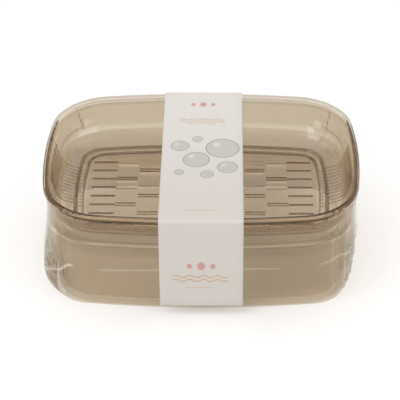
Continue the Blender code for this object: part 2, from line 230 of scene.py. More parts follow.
# Creases in the film, in millimetres: the points of each, how high it stands and how wide it is.
CREASES = (
    ((
        (-67.5, -36.3, 13.6), (-65.1, -39.3, 15.7), (-61, -42.2, 17.6),
        (-59.1, -43.1, 19.8), (-56.8, -44, 21.7), (-55.6, -44.5, 21.2),
    ), 0.5, 0.55),
    (((-69.2, -20, 15.5), (-68.6, -28, 14.6), (-67.5, -36.3, 13.6)), 0.35, 0.6),
    ((
        (-43.6, -46.2, 20.1), (-30.4, -47.4, 21), (-18, -48.2, 21.8),
        (0, -48.6, 22.4), (18.3, -48.3, 22.8), (34.3, -47.2, 22.1),
    ), 0.28, 0.45),
    (((56.5, -43.8, 36.5), (57, -43.4, 22.8), (57.7, -42.4, 7.2)), 0.2, 0.6),
    (((60.5, -41, 24.9), (63.6, -37.8, 24.5), (66, -33, 24.3)), 0.4, 0.5),
    (((56.2, -43.9, 24.2), (58.1, -42.8, 25), (60, -41.3, 25.6)), 0.35, 0.5),
    (((51.5, -45.3, 23.1), (54.2, -44.7, 23.8), (56, -44, 23.4)), 0.3, 0.5),
    (((-64.8, -37.4, 24.3), (-66, -34.8, 22.5), (-66.6, -33, 24)), 0.35, 0.6),
    (((-59.6, -42.5, 6.2), (-61, -41.3, 8.2), (-63, -39.2, 7)), 0.35, 0.6),
)
# Pleats at the two back corners, in the same form. They are painted dark, a painted shade.
PLEATS = (
    (((-58.3, 42.2, 45.4), (-56, 43.6, 35), (-51, 45.3, 22.1)), 0.7, 0.7),
    (((59.3, 41.7, 45.9), (57.9, 42.5, 34.7), (53.7, 44.6, 23.4)), 0.7, 0.7),
)
# The film hangs slack at the ends, from this x on and under this height, in millimetres, and over how far
# the slack grows.
SLACK_FROM, SLACK_OVER = 54, 9
SLACK_UNDER, SLACK_DEPTH = 34, 12
# Its folds and fine crinkles there: how close, how thin, how high in millimetres, and how strongly they are
# painted white, a painted highlight.
FOLDS = (0.23, 3.2, 0.5, 0.25)
CRINKLES = (0.55, 3.4, 0.25, 0.35)
FOLDS_SHIFT = (3.1, 0, 7.7)
# Its slow waves all round: how close, and how high in millimetres.
SWELL = (0.07, 0.12)

# Paper band, as in the part's source, with a rounder fold and a slight slack in each panel.
BAND_WIDTH = 35.9 * MM
BAND_THICK = 0.36 * MM
BAND_OFFSET = 0.4 * MM
BAND_ASIDE = 0.4 * MM
BAND_FOLD = 1.4 * MM
BAND_END = 5.4 * MM
BAND_LIFT = 0.3 * MM
BAND_STEPS = 10
PANEL_STEPS = 24
BAND_ACROSS = 16
CUT_EDGE = 0.05 * MM
CUT_ANGLE = 60
# How far a panel hangs in at its end, in millimetres: always, and more or less with its waves.
HANG = 0.2
HANG_WAVE = 0.25
WAVES_ACROSS, WAVES_ALONG = 40, 9

# Stage: half the floor, its glow, the world's light, and the lamps' places, sizes and powers.
FLOOR_SIZE = 3.0
FLOOR_GLOW = 0.2
WORLD_LEVEL = 0.66
LAMP_AIM = (0, 0, 0.02)
LAMPS = (
    ("key", (-0.5, -0.4, 1.1), (0.7, 0.7), 3.3),
    ("fill", (0.8, -0.5, 0.7), (0.6, 0.6), 1.8),
    ("low", (-1.0, -0.6, 0.45), (0.5, 0.5), 1.3),
    ("strip", (0, -0.62, 0.95), (1.3, 0.12), 0.45),
    ("back", (0, 0.45, 1.25), (1.4, 0.6), 2.2),
)
BOUNCES = 32


def into_scene(name, data):
    obj = bpy.data.objects.new(name, data)
    bpy.context.scene.collection.objects.link(obj)
    return obj


def camera():
    """A long lens in front of the dish, 35 degrees above the table, as in the photograph."""
    tilt = 0.61086
    turn = -0.017534
    roll = -0.0072978
    away = 764.27 * MM
    aside = -0.7784 * MM
    up = 2.3915 * MM
    look_height = 22 * MM
    focal_pixels = 1683.19
    photo_width = 400
    sensor = 36
    data = bpy.data.cameras.new("camera")
    data.lens = focal_pixels / photo_width * sensor
    data.sensor_width = sensor
    data.clip_start = 0.01
    data.clip_end = 20
    obj = into_scene("camera", data)
    place = Vector((
        aside,
        -away * math.cos(tilt) + up * math.sin(tilt),
        look_height + away * math.sin(tilt) + up * math.cos(tilt),
    ))
    right = Vector((1, 0, 0))
    ahead = Vector((0, math.cos(tilt), -math.sin(tilt)))
    above = right.cross(ahead)
    view = Matrix((right, above, -ahead)).transposed().to_4x4()
    view = view @ Matrix.Rotation(roll, 4, "Z")
    spin = Matrix.Rotation(-turn, 4, "Z")
    obj.matrix_world = spin @ Matrix.Translation(place) @ view
    bpy.context.scene.camera = obj


camera()


class Bench:
    """Places nodes in one tree. An input is a number, a colour, a vector or another node's output."""

    def __init__(self, tree):
        self.nodes = tree.nodes
        self.links = tree.links

    def feed(self, socket, value):
        if isinstance(value, bpy.types.NodeSocket):
            self.links.new(value, socket)
        else:
            socket.default_value = value

    def node(self, kind, settings=None, **inputs):
        """A node, with its settings as a dict and its inputs by name, an underscore for each space."""
        made = self.nodes.new(kind)
        for name, value in (settings or {}).items():
            setattr(made, name, value)
        for name, value in inputs.items():
            self.feed(made.inputs[name.replace("_", " ")], value)
        return made

    def math(self, operation, *values):
        made = self.node("ShaderNodeMath", {"operation": operation})
        for socket, value in zip(made.inputs, values):
            self.feed(socket, value)
        return made.outputs[0]

    def plus(self, first, second):
        return self.math("ADD", first, second)

    def minus(self, first, second):
        return self.math("SUBTRACT", first, second)

    def size(self, value):
        return self.math("ABSOLUTE", value)

    def times(self, *values):
        total = values[0]
        for value in values[1:]:
            total = self.math("MULTIPLY", total, value)
        return total

    def most(self, *values):
        total = values[0]
        for value in values[1:]:
            total = self.math("MAXIMUM", total, value)
        return total

    def fade(self, value, start, end, low=0.0, high=1.0):
        """Smoothly from low where the value is at start to high where it is at end."""
        made = self.node("ShaderNodeMapRange", {"interpolation_type": "SMOOTHSTEP"}, Value=value)
        for name, number in (("From Min", start), ("From Max", end), ("To Min", low), ("To Max", high)):
            made.inputs[name].default_value = number
        return made.outputs[0]

    def band(self, value, low, high, soft):
        """1 where the value lies from low to high, with soft edges."""
        rise = self.fade(value, low - soft, low + soft)
        fall = self.fade(value, high - soft, high + soft, 1.0, 0.0)
        return self.times(rise, fall)

    def mix(self, share, first, second):
        made = self.node("ShaderNodeMix", {"data_type": "RGBA", "blend_type": "MIX"})
        for place, value in ((0, share), (6, first), (7, second)):
            self.feed(made.inputs[place], value)
        return made.outputs[2]

    def layers(self, colour, *rows):
        """Lays colours over the first one. A row is where, how much of it, and the colour."""
        for where, share, over in rows:
            colour = self.mix(self.times(where, share), colour, over)
        return colour

    def split(self, vector):
        return self.node("ShaderNodeSeparateXYZ", Vector=vector).outputs

    def scaled(self, vector, amount):
        made = self.node("ShaderNodeVectorMath", {"operation": "SCALE"}, Vector=vector, Scale=amount)
        return made.outputs[0]

    def noise(self, place, scale, detail):
        return self.node("ShaderNodeTexNoise", Vector=place, Scale=scale, Detail=detail).outputs[0]


NUMBER = "NodeSocketFloat"
ARROW = "NodeSocketVector"


def effect(name, takes, gives):
    """An empty node group, its bench, its inputs and its last node. All that it gives are numbers."""
    tree = bpy.data.node_groups.new(name, "ShaderNodeTree")
    for label, kind in takes.items():
        tree.interface.new_socket(label, in_out="INPUT", socket_type=kind)
    for label in gives:
        tree.interface.new_socket(label, in_out="OUTPUT", socket_type=NUMBER)
    bench = Bench(tree)
    start = bench.nodes.new("NodeGroupInput").outputs
    end = bench.nodes.new("NodeGroupOutput").inputs
    return tree, bench, start, end


def handling_effect():
    """Smudges and hair scratches of a handled surface, in object millimetres."""
    takes = {"Place": ARROW, "Size": NUMBER, "Least": NUMBER, "Most": NUMBER}
    tree, bench, start, end = effect("handling", takes, ("Roughness", "Height", "Drift"))
    place = bench.scaled(start["Place"], start["Size"])
    smudge = bench.noise(place, 0.045, 3.0)
    fine = bench.noise(place, 0.9, 2.0)
    hair = bench.node(
        "ShaderNodeTexWave", {"bands_direction": "DIAGONAL"},
        Vector=place, Scale=0.35, Distortion=9.0, Detail=2.0, Detail_Scale=0.35,
    ).outputs[1]
    scratch = bench.times(bench.fade(hair, 0.985, 1.0), bench.fade(smudge, 0.48, 0.6))
    wiped = bench.times(bench.fade(smudge, 0.42, 0.68), bench.fade(fine, 0.3, 0.7, 0.6, 1.0))
    spread = bench.minus(start["Most"], start["Least"])
    rough = bench.plus(start["Least"], bench.times(spread, bench.most(wiped, scratch)))
    bench.feed(end["Roughness"], rough)
    bench.feed(end["Height"], bench.minus(bench.times(fine, 0.2), scratch))
    bench.feed(end["Drift"], bench.noise(place, 0.02, 1.0))
    return tree


def lip_inset(bench, long_x, long_y):
    """How far in from the outer edge of the lip, whose sides are bowed and whose corners are round."""
    corner = LIP_CORNER / MM
    turns = []
    for long, short, half, stop, radius in (
        (long_x, long_y, LIP_LENGTH / 2 / MM, END_BOW_STOP, END_ARC / MM),
        (long_y, long_x, LIP_WIDTH / 2 / MM, SIDE_BOW_STOP, SIDE_ARC / MM),
    ):
        near = bench.math("MINIMUM", short, stop)
        bow = bench.times(near, near, 0.5 / radius)
        turns.append(bench.plus(bench.plus(long, bow), corner - half))
    squares = [bench.times(past, past) for past in [bench.most(turn, 0.0) for turn in turns]]
    round_corner = bench.math("SQRT", bench.plus(*squares))
    straight = bench.math("MINIMUM", bench.most(*turns), 0.0)
    return bench.minus(corner, bench.plus(round_corner, straight))


def slot_edge_highlights(bench, x, y):
    """A painted highlight: a thin light strip in front of each drain slot, column by column."""
    reach = FLOOR_REACH / MM
    columns = {kind: [] for kind in SLOT_LINES}
    for west, east, kind in zip(COLUMN_SHARES, COLUMN_SHARES[1:], COLUMN_KINDS):
        columns[kind].append(bench.band(x, west * reach + SLOT_INSET, east * reach - SLOT_INSET, 0.05))
    slot_highlights = []
    for kind, lines in SLOT_LINES.items():
        nears = [(((LINES - 1) / 2 - line) * LINE_PITCH - SLOT_NEAR) / MM for line in lines]
        strips = [bench.band(y, near + SLOT_HIGHLIGHT[0], near + SLOT_HIGHLIGHT[1], 0.1) for near in nears]
        slot_highlights.append(bench.times(bench.most(*strips), bench.most(*columns[kind])))
    return bench.most(*slot_highlights)


def end_rib_shade(bench, y, z, long_x, long_y):
    """Painted shade of the fine ribs up both ends of the bowl, fainter above."""
    rib = bench.band(bench.math("FRACT", bench.math("DIVIDE", y, FLUTE_PITCH / MM)), *RIB_SHARE)
    fluted = bench.times(bench.fade(long_y, *RIBS_SIDE), bench.fade(long_x, *RIBS_FROM))
    height = bench.most(bench.band(z, *LOW_RIBS), bench.times(bench.band(z, *HIGH_RIBS), 0.7))
    return bench.times(rib, fluted, height)


def tray_effect():
    """Painted shade and painted highlights on the tray: dark steps, lip edges, a line under the lip, a
    darker back lip, ribs, floor and slots, and light strips in front of the slots, on the lip and low on
    the back wall.
    """
    labels = ("Steps", "Edges", "Under_lip_shadow", "Bright", "Slot_and_groove_shade", "Rib_shade", "Lip", "Floor_shade")
    tree, bench, start, end = effect("tray_shade_and_highlights", {"Place": ARROW, "Facing": ARROW}, labels)
    x, y, z = bench.split(start["Place"])
    face_x, face_y, face_z = bench.split(start["Facing"])
    long_x, long_y = bench.size(x), bench.size(y)
    away = bench.plus(bench.times(x, face_x), bench.times(y, face_y))
    inward = bench.fade(away, -2.0, -8.0)
    outer = bench.fade(away, 4.0, 16.0)
    at_end = bench.fade(bench.size(face_x), 0.5, 0.8)
    steep = bench.fade(bench.size(face_z), 0.75, 0.55)
    level = bench.fade(face_z, 0.6, 0.9)

    # Painted shade: dark bands on the gutter's steps and in the gap between them, and a darker cove at the
    # foot of the walls.
    gap = bench.times(bench.band(z, *STEP_GAP), bench.fade(y, 0.0, 30.0, 0.25, 0.6))
    cove_shade = bench.times(bench.fade(z, *COVE), 0.4)
    steps = bench.most(bench.band(z, *UPPER_STEP), bench.band(z, *LOWER_STEP), gap, cove_shade)
    bench.feed(end["Steps"], bench.times(steps, inward, bench.fade(z, *STEP_FOOT)))

    inset = lip_inset(bench, long_x, long_y)
    on_lip = bench.fade(z, *LIP_LEVEL)
    # Painted shade: dark lines along the lip's inner edge and across its top, a darker crest at the back,
    # and a dark line across the end walls.
    near_line = bench.times(bench.band(inset, *NEAR_LINE), on_lip, bench.fade(y, *FRONT_LIP))
    far_line = bench.times(bench.band(inset, *FAR_LINE), on_lip, bench.fade(y, *FRONT_LIP, 0.35, 0.0))
    inner = bench.times(bench.band(z, *INNER_EDGE), inward, bench.fade(y, *FRONT_LIP, 0.2, 1.0))
    inner = bench.times(bench.most(inner, near_line, far_line), bench.fade(y, -10.0, 35.0, 1.0, 0.4))
    crest = bench.times(bench.band(z, *LIP_CREST), outer, bench.fade(y, -20.0, 10.0, 0.0, 0.35))
    end_line = bench.times(bench.band(z, *END_LINE), inward, at_end, 0.45)
    bench.feed(end["Edges"], bench.most(inner, crest, end_line))
    # Painted shadow: a dark line under the lip on its outside, weaker towards the back and at the ends.
    under_lip_shadow = bench.times(bench.band(z, *OUTER_EDGE), outer, bench.fade(y, 5.0, 40.0, 1.0, 0.25))
    bench.feed(end["Under_lip_shadow"], bench.times(under_lip_shadow, bench.fade(at_end, 0.0, 1.0, 1.0, 0.25)))
    # Painted shade: the lip is painted darker towards the back.
    bench.feed(end["Lip"], bench.times(bench.band(z, *LIP_SHADE), bench.fade(y, 0.0, 20.0)))

    # Painted shade: the tray's floor is painted darker.
    on_floor = bench.times(
        bench.fade(z, *FLOOR_LEVEL), bench.fade(long_x, *FLOOR_END), bench.fade(long_y, *FLOOR_SIDE)
    )
    # Painted shade: the walls of the slots and the bottoms of the grooves are painted dark.
    in_front = bench.fade(face_y, -0.1, -0.6)
    sides = bench.times(bench.most(in_front, at_end), steep, bench.fade(z, *SLOT_WALL))
    bottom = bench.times(bench.fade(z, *GROOVE_BOTTOM), level)
    bench.feed(end["Slot_and_groove_shade"], bench.times(bench.most(sides, bottom), on_floor))
    bench.feed(end["Floor_shade"], bench.times(on_floor, level))

    # Painted highlights: a light band on the lip, a light band low on the back wall, and light strips in
    # front of the slots.
    lip_highlight = bench.times(bench.band(inset, *LIP_HIGHLIGHT), on_lip, bench.fade(y, 10.0, -30.0, 0.15, 0.4))
    glow = bench.times(bench.band(z, *BACK_HIGHLIGHT), bench.fade(y, 22.0, 34.0), 0.55)
    slot_highlights = bench.times(slot_edge_highlights(bench, x, y), on_floor)
    bench.feed(end["Bright"], bench.most(slot_highlights, lip_highlight, glow))

    # Painted shade: dark lines of the end ribs, on the inside of the bowl.
    inside = bench.most(inward, bench.fade(z, *WALL_TOP))
    bench.feed(end["Rib_shade"], bench.times(end_rib_shade(bench, y, z, long_x, long_y), inside))
    return tree


def paper_effect():
    """Fibres of a coated card, and how far it is rubbed along its two folds."""
    tree, bench, start, end = effect("card_fibre", {"Place": ARROW}, ("Fibre", "Cloud", "Rub"))
    stretched = bench.node("ShaderNodeVectorMath", {"operation": "MULTIPLY"})
    bench.feed(stretched.inputs[0], start["Place"])
    stretched.inputs[1].default_value = (1.0, 0.35, 0.35)
    bench.feed(end["Fibre"], bench.noise(stretched.outputs[0], 3.2, 4.0))
    bench.feed(end["Cloud"], bench.noise(start["Place"], 0.06, 3.0))
    _, y, z = bench.split(start["Place"])
    at_fold = bench.times(bench.fade(z, 49.4, 50.3), bench.fade(bench.size(y), 50.7, 51.8))
    patchy = bench.fade(bench.noise(start["Place"], 0.7, 3.0), 0.42, 0.62)
    bench.feed(end["Rub"], bench.times(at_fold, patchy))
    return tree


def spot(bench, across, along, middle, size, squash=1.0):
    """A filled ellipse in the plane of two coordinates."""
    side = bench.minus(across, middle[0])
    reach = bench.times(bench.minus(along, middle[1]), squash)
    apart = bench.math("SQRT", bench.plus(bench.times(side, side), bench.times(reach, reach)))
    return bench.fade(apart, size + PRINT_SOFT, size - PRINT_SOFT)


def ripples(bench, across, along, lines):
    """Wavy lines of a given half length."""
    made = []
    for level, half, swing, wave, thick in lines:
        bend = bench.times(bench.math("SINE", bench.times(across, math.tau / wave)), swing)
        off = bench.size(bench.minus(bench.minus(along, level), bend))
        within = bench.fade(bench.size(across), half + 0.2, half - 0.2)
        made.append(bench.times(bench.fade(off, thick + 0.12, thick - 0.08), within))
    return bench.most(*made)


def drops(bench, across, along, rows):
    """A few drops, drawn out a little along the card."""
    return bench.most(*[
        spot(bench, across, along, (side, level), size, DROP_SQUASH) for side, level, size in rows
    ])


def bubbles(bench, x, y):
    """Grey rings with a paler fill, the large ones with a glint."""
    made = []
    for side, ahead, size, thick in BUBBLES:
        whole = spot(bench, x, y, (side, ahead), size)
        made.append(bench.minus(whole, spot(bench, x, y, (side, ahead), size - thick)))
        made.append(bench.times(whole, 0.42))
    glints = [
        spot(bench, x, y, (side - size * 0.36, ahead + size * 0.4), size * 0.2, DROP_SQUASH)
        for side, ahead, size, _ in BUBBLES[:BUBBLES_WITH_GLINT]
    ]
    return bench.times(bench.most(*made), bench.minus(1.0, bench.times(bench.most(*glints), 0.9)))


def print_effect():
    """Plain bathroom motifs on the card: ripples and drops on top and in front, and bubbles on top."""
    takes = {"Place": ARROW, "Facing": ARROW}
    tree, bench, start, end = effect("card_print", takes, ("Gold", "Pink", "Grey"))
    x, y, z = bench.split(start["Place"])
    _, face_y, face_z = bench.split(start["Facing"])
    on_top = bench.fade(face_z, 0.9, 0.98)
    in_front = bench.fade(face_y, -0.9, -0.98)
    for label, motif, top, front in (
        ("Gold", ripples, TOP_RIPPLES, FRONT_RIPPLES), ("Pink", drops, TOP_DROPS, FRONT_DROPS)
    ):
        above = bench.times(motif(bench, x, y, top), on_top)
        bench.feed(end[label], bench.most(above, bench.times(motif(bench, x, z, front), in_front)))
    bench.feed(end["Grey"], bench.times(bubbles(bench, x, y), on_top))
    return tree


HANDLING = handling_effect()
TRAY_SHADE_AND_HIGHLIGHTS = tray_effect()
CARD_FIBRE = paper_effect()
CARD_PRINT = print_effect()


def new_material(name):
    made = bpy.data.materials.new(name)
    made.use_nodes = True
    made.node_tree.nodes.clear()
    bench = Bench(made.node_tree)
    return made, bench, bench.nodes.new("ShaderNodeOutputMaterial")


def use(bench, tree, **inputs):
    """Places a node group and gives its outputs by name."""
    return bench.node("ShaderNodeGroup", {"node_tree": tree}, **inputs).outputs


def place_in_mm(bench):
    """Where the point is, in object millimetres, and the normal of the solid."""
    coordinates = bench.nodes.new("ShaderNodeTexCoord").outputs
    return bench.scaled(coordinates["Object"], 1 / MM), coordinates["Normal"]


def outer_side(bench):
    """Two numbers: 1 where a face is seen from behind, and 1 where it is seen from outside."""
    seen = bench.nodes.new("ShaderNodeNewGeometry").outputs["Backfacing"]
    return seen, bench.minus(1.0, seen)


def outward(bench, normal, behind, front):
    """The normal that points out of the solid, whichever side is seen."""
    return bench.scaled(normal, bench.minus(front, behind))


def let_light_through(bench, shader, out, tint):
    """Rays from the lamps and from matt surfaces pass straight through the glassy shader, tinted."""
    path = bench.nodes.new("ShaderNodeLightPath")
    clear = bench.node("ShaderNodeBsdfTransparent", Color=(*tint, 1))
    last = shader
    for kind in ("Is Diffuse Ray", "Is Shadow Ray"):
        mix = bench.nodes.new("ShaderNodeMixShader")
        for place, value in enumerate((path.outputs[kind], last.outputs[0], clear.outputs[0])):
            bench.feed(mix.inputs[place], value)
        last = mix
    bench.feed(out.inputs["Surface"], last.outputs[0])


def absorb(bench, out, amounts):
    """Takes light out along its way through the wall, in red, green and blue per metre."""
    most = max(amounts)
    colour = (*[1 - amount / most for amount in amounts], 1)
    inside = bench.node("ShaderNodeVolumeAbsorption", Color=colour, Density=most)
    bench.feed(out.inputs["Volume"], inside.outputs[0])


def glassy(bench, ior, coat):
    """A clear plastic under a coat."""
    return bench.node(
        "ShaderNodeBsdfPrincipled",
        IOR=ior, Transmission_Weight=1.0, Coat_IOR=coat[0], Coat_Roughness=coat[1],
    )


def dress(bench, shader, colour, roughness, bumps, height):
    """Gives a shader its colour, its roughness and its bumps."""
    bench.feed(shader.inputs["Base Color"], colour)
    bench.feed(shader.inputs["Roughness"], roughness)
    bump = bench.node("ShaderNodeBump", Strength=bumps[0], Distance=bumps[1], Height=height)
    bench.feed(shader.inputs["Normal"], bump.outputs[0])


def smoky_tray():
    made, bench, out = new_material("smoky_tray_plastic")
    place, normal = place_in_mm(bench)
    behind, front = outer_side(bench)
    shader = glassy(bench, TRAY_IOR, TRAY_COAT)
    worn = use(bench, HANDLING, Place=place, Size=1.0, Least=0.0, Most=0.035)
    lines = use(bench, TRAY_SHADE_AND_HIGHLIGHTS, Place=place, Facing=outward(bench, normal, behind, front))
    colour = bench.mix(worn["Drift"], *TRAY_COLOURS)
    # Painted shade and painted highlights lie over the tray's drifting colour.
    colour = bench.layers(colour, *[(lines[name], share, over) for name, share, over in TRAY_LAYERS])
    dress(bench, shader, colour, worn["Roughness"], MOULDED_BUMP, worn["Height"])
    glossy = bench.minus(1.0, bench.most(lines["Edges"], lines["Under_lip_shadow"]))
    bench.feed(shader.inputs["Coat Weight"], bench.times(front, glossy))
    let_light_through(bench, shader, out, TRAY_PASS)
    absorb(bench, out, TRAY_ABSORB)
    return made


def smoky_box():
    made, bench, out = new_material("smoky_box_plastic")
    place, _ = place_in_mm(bench)
    _, front = outer_side(bench)
    shader = glassy(bench, BOX_IOR, BOX_COAT)
    worn = use(bench, HANDLING, Place=place, Size=1.3, Least=0.0, Most=0.04)
    _, _, height = bench.split(place)
    # Painted shade: the box's wall is painted darker just under its rim.
    under_rim_shade = bench.band(height, *UNDER_RIM_SHADE_HEIGHT)
    colour = bench.layers(bench.mix(worn["Drift"], *BOX_COLOURS), (under_rim_shade, 1.0, BOX_UNDER_RIM_SHADE))
    dress(bench, shader, colour, worn["Roughness"], MOULDED_BUMP, worn["Height"])
    bench.feed(shader.inputs["Coat Weight"], front)
    let_light_through(bench, shader, out, BOX_PASS)
    absorb(bench, out, BOX_ABSORB)
    return made


def clear_film():
    """Film, with painted shade where it lies over more plastic and on its right front, painted light at the
    back of its ends, a painted highlight at the height of the box's rim, and painted highlights and shade
    on its creases and pleats.
    """
    made, bench, out = new_material("clear_film")
    place, _ = place_in_mm(bench)
    _, front = outer_side(bench)
    shader = glassy(bench, FILM_IOR, FILM_COAT)
    worn = use(bench, HANDLING, Place=place, Size=2.0, Least=0.03, Most=0.1)
    x, y, height = bench.split(place)
    long_x = bench.size(x)
    long_side = bench.times(bench.fade(long_x, 60.0, 52.0), bench.fade(y, 5.0, -5.0))
    # Painted shade under the lip and at the low corners, a painted highlight at the box's rim, painted
    # light at the back of the ends, and painted shade on the right front.
    under_lip_shade = bench.times(bench.band(height, *UNDER_LIP_SHADE_HEIGHT), long_side)
    ring_highlight = bench.times(bench.band(height, *RING_HIGHLIGHT_HEIGHT), bench.fade(y, 10.0, -10.0, 0.0, 0.7))
    low_corner_shade = bench.times(bench.fade(long_x, 54.0, 60.0), bench.fade(height, 26.0, 16.0))
    back_corner_light = bench.times(bench.fade(long_x, 58.0, 63.0), bench.band(y, *BACK_CORNER_LIGHT_Y))
    right_shade = bench.times(bench.fade(x, 10.0, 45.0), bench.fade(y, 0.0, -10.0))
    right_shade = bench.times(right_shade, bench.band(height, *RIGHT_SHADE_HEIGHT))
    # The crease attribute carries painted highlights on the creases and painted shade in the pleats.
    fold = bench.node("ShaderNodeAttribute", {"attribute_name": "crease"}).outputs["Fac"]
    crease = bench.fade(fold, 0.0, 1.0)
    colour = bench.layers(
        bench.mix(worn["Drift"], *FILM_COLOURS),
        (under_lip_shade, 1.0, FILM_UNDER_LIP_SHADE),
        (ring_highlight, 1.0, FILM_RING_HIGHLIGHT),
        (low_corner_shade, 1.0, FILM_LOW_CORNER_SHADE),
        (back_corner_light, 1.0, FILM_BACK_CORNER_LIGHT),
        (right_shade, 1.0, FILM_RIGHT_SHADE),
        (crease, 0.5, FILM_CREASE_HIGHLIGHT),
        (bench.fade(fold, -0.3, -0.9), 0.8, FILM_PLEAT_SHADE),
    )
    # The creases also glow faintly, a painted highlight.
    bench.feed(shader.inputs["Emission Color"], bench.mix(crease, BLACK, FILM_GLINT))
    shader.inputs["Emission Strength"].default_value = 0.12
    wrinkles = bench.plus(bench.noise(place, 0.5, 3.0), bench.times(worn["Height"], 0.1))
    dress(bench, shader, colour, worn["Roughness"], FILM_BUMP, wrinkles)
    bench.feed(shader.inputs["Coat Weight"], bench.times(front, 0.8))
    let_light_through(bench, shader, out, FILM_PASS)
    return made


def coated_card():
    made, bench, out = new_material("coated_card")
    place, normal = place_in_mm(bench)
    shader = bench.nodes.new("ShaderNodeBsdfPrincipled")
    paper = use(bench, CARD_FIBRE, Place=place)
    ink = use(bench, CARD_PRINT, Place=place, Facing=outward(bench, normal, *outer_side(bench)))
    _, ahead, _ = bench.split(place)
    colour = bench.layers(
        bench.mix(paper["Cloud"], *CARD_COLOURS),
        # Painted light: the card is painted lighter towards its back and darker in front.
        (bench.fade(ahead, -45.0, 40.0), 0.8, CARD_PAINTED_LIGHT_BEHIND),
        (paper["Fibre"], 0.12, CARD_FIBRES),
        (ink["Grey"], 0.75, GREY_INK),
        (ink["Gold"], 0.8, GOLD_INK),
        (ink["Pink"], 0.85, PINK_INK),
        (paper["Rub"], 0.35, CARD_RUBBED),
    )
    matt = bench.plus(bench.fade(paper["Cloud"], 0.3, 0.7, 0.48, 0.6), bench.times(paper["Rub"], 0.25))
    roughness = bench.minus(matt, bench.times(ink["Gold"], 0.2))
    height = bench.minus(paper["Fibre"], bench.times(paper["Rub"], 2.0))
    dress(bench, shader, colour, roughness, CARD_BUMP, height)
    bench.feed(out.inputs["Surface"], shader.outputs[0])
    return made


def smooth(mesh):
    for face in mesh.polygons:
        face.use_smooth = True


def dress_moulded(name, look):
    """The tray and the box keep their solids, with smooth faces between sharp edges."""
    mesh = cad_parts[name].data
    mesh.materials.clear()
    mesh.materials.append(look)
    smooth(mesh)
    mesh.set_sharp_from_angle(angle=SHARP_ANGLES[name] * DEGREE)


dress_moulded("drain_tray", smoky_tray())
dress_moulded("catch_box", smoky_box())


def quarter(half_x, half_y, corner, end_arc, side_arc):
    """A quarter of a rounded outline with bowed sides, from the +X end round to the +Y side."""
    end_x = half_x - end_arc
    side_y = half_y - side_arc
    reach_x = end_arc - corner
    reach_y = side_arc - corner
    apart = math.hypot(end_x, side_y)
    along = (reach_x**2 - reach_y**2 + apart**2) / (2 * apart)
    across = math.sqrt(reach_x**2 - along**2)
    to_x = -end_x / apart
    to_y = side_y / apart
    middle_x = end_x + to_x * along - to_y * across
    middle_y = to_y * along + to_x * across
    if middle_x + middle_y < 0:
        middle_x = end_x + to_x * along + to_y * across
        middle_y = to_y * along - to_x * across
    first = math.atan2(middle_y, middle_x - end_x)
    last = math.atan2(middle_y - side_y, middle_x)
    arcs = (
        (end_x, 0.0, end_arc, 0.0, first, END_STEPS),
        (middle_x, middle_y, corner, first, last, CORNER_STEPS),
        (0.0, side_y, side_arc, last, math.pi / 2, SIDE_STEPS),
    )
    points = []
    for x, y, radius, begin, finish, steps in arcs:
        for step in range(steps):
            turn = begin + (finish - begin) * step / steps
            points.append((x + radius * math.cos(turn), y + radius * math.sin(turn)))
    return points + [(0.0, half_y)]


def film_row(up):
    """The shares of the film at one height, on a smooth curve through FILM_ROWS."""
    heights = FILM_ROWS[:, 0]
    slopes = np.gradient(FILM_ROWS[:, 1:], heights, axis=0)
    place = int(np.clip(np.searchsorted(heights, up) - 1, 0, len(heights) - 2))
    gap = heights[place + 1] - heights[place]
    t = (up - heights[place]) / gap
    low, high = FILM_ROWS[place, 1:], FILM_ROWS[place + 1, 1:]
    return (
        low * (2 * t**3 - 3 * t**2 + 1)
        + high * (3 * t**2 - 2 * t**3)
        + slopes[place] * gap * (t**3 - 2 * t**2 + t)
        + slopes[place + 1] * gap * (t**3 - t**2)
    )


def film_ring(up):
    """The outline of the film at one height, from the +X end round by the +Y side."""
    left, right, side, round_share, straight = film_row(up)
    head = LIP_TOP - TRAY_WALL - FILM_BELOW_LIP
    height = FILM_FOOT + (head - FILM_FOOT) * up
    stand_x = END_OVERHANG - FILM_GAP - FILM_WALL
    stand_y = SIDE_OVERHANG - FILM_GAP - FILM_WALL
    corner = FILM_CORNER + (LIP_CORNER - FILM_CORNER) * round_share
    half_y = LIP_WIDTH / 2 - stand_y * (1 - side)
    west_arc = END_ARC / (1 - min(max(straight, 0.0), MOST_STRAIGHT))
    east = quarter(LIP_LENGTH / 2 - stand_x * (1 - right), half_y, corner, END_ARC, SIDE_ARC)
    west = quarter(LIP_LENGTH / 2 - stand_x * (1 - left), half_y, corner, west_arc, SIDE_ARC)
    points = list(east)
    points += [(-x, y) for x, y in reversed(west[:-1])]
    points += [(-x, -y) for x, y in west[1:]]
    points += [(x, -y) for x, y in reversed(east[1:-1])]
    return [(x, y, height) for x, y in points]


def near_crease(points, line, wide):
    """1 on a crease and less beside it, for each point, in millimetres."""
    line = np.array(line)
    apart = np.full(len(points), np.inf)
    for begin, finish in zip(line, line[1:]):
        run = finish - begin
        t = np.clip((points - begin) @ run / (run @ run), 0, 1)
        apart = np.minimum(apart, np.linalg.norm(points - begin - t[:, None] * run, axis=1))
    return np.exp(-((apart / wide) ** 2))


def ridge(place, thin):
    """Thin ridges, where a smooth noise passes through zero."""
    return max(1 - abs(noise.noise(place)) * thin, 0) ** 3


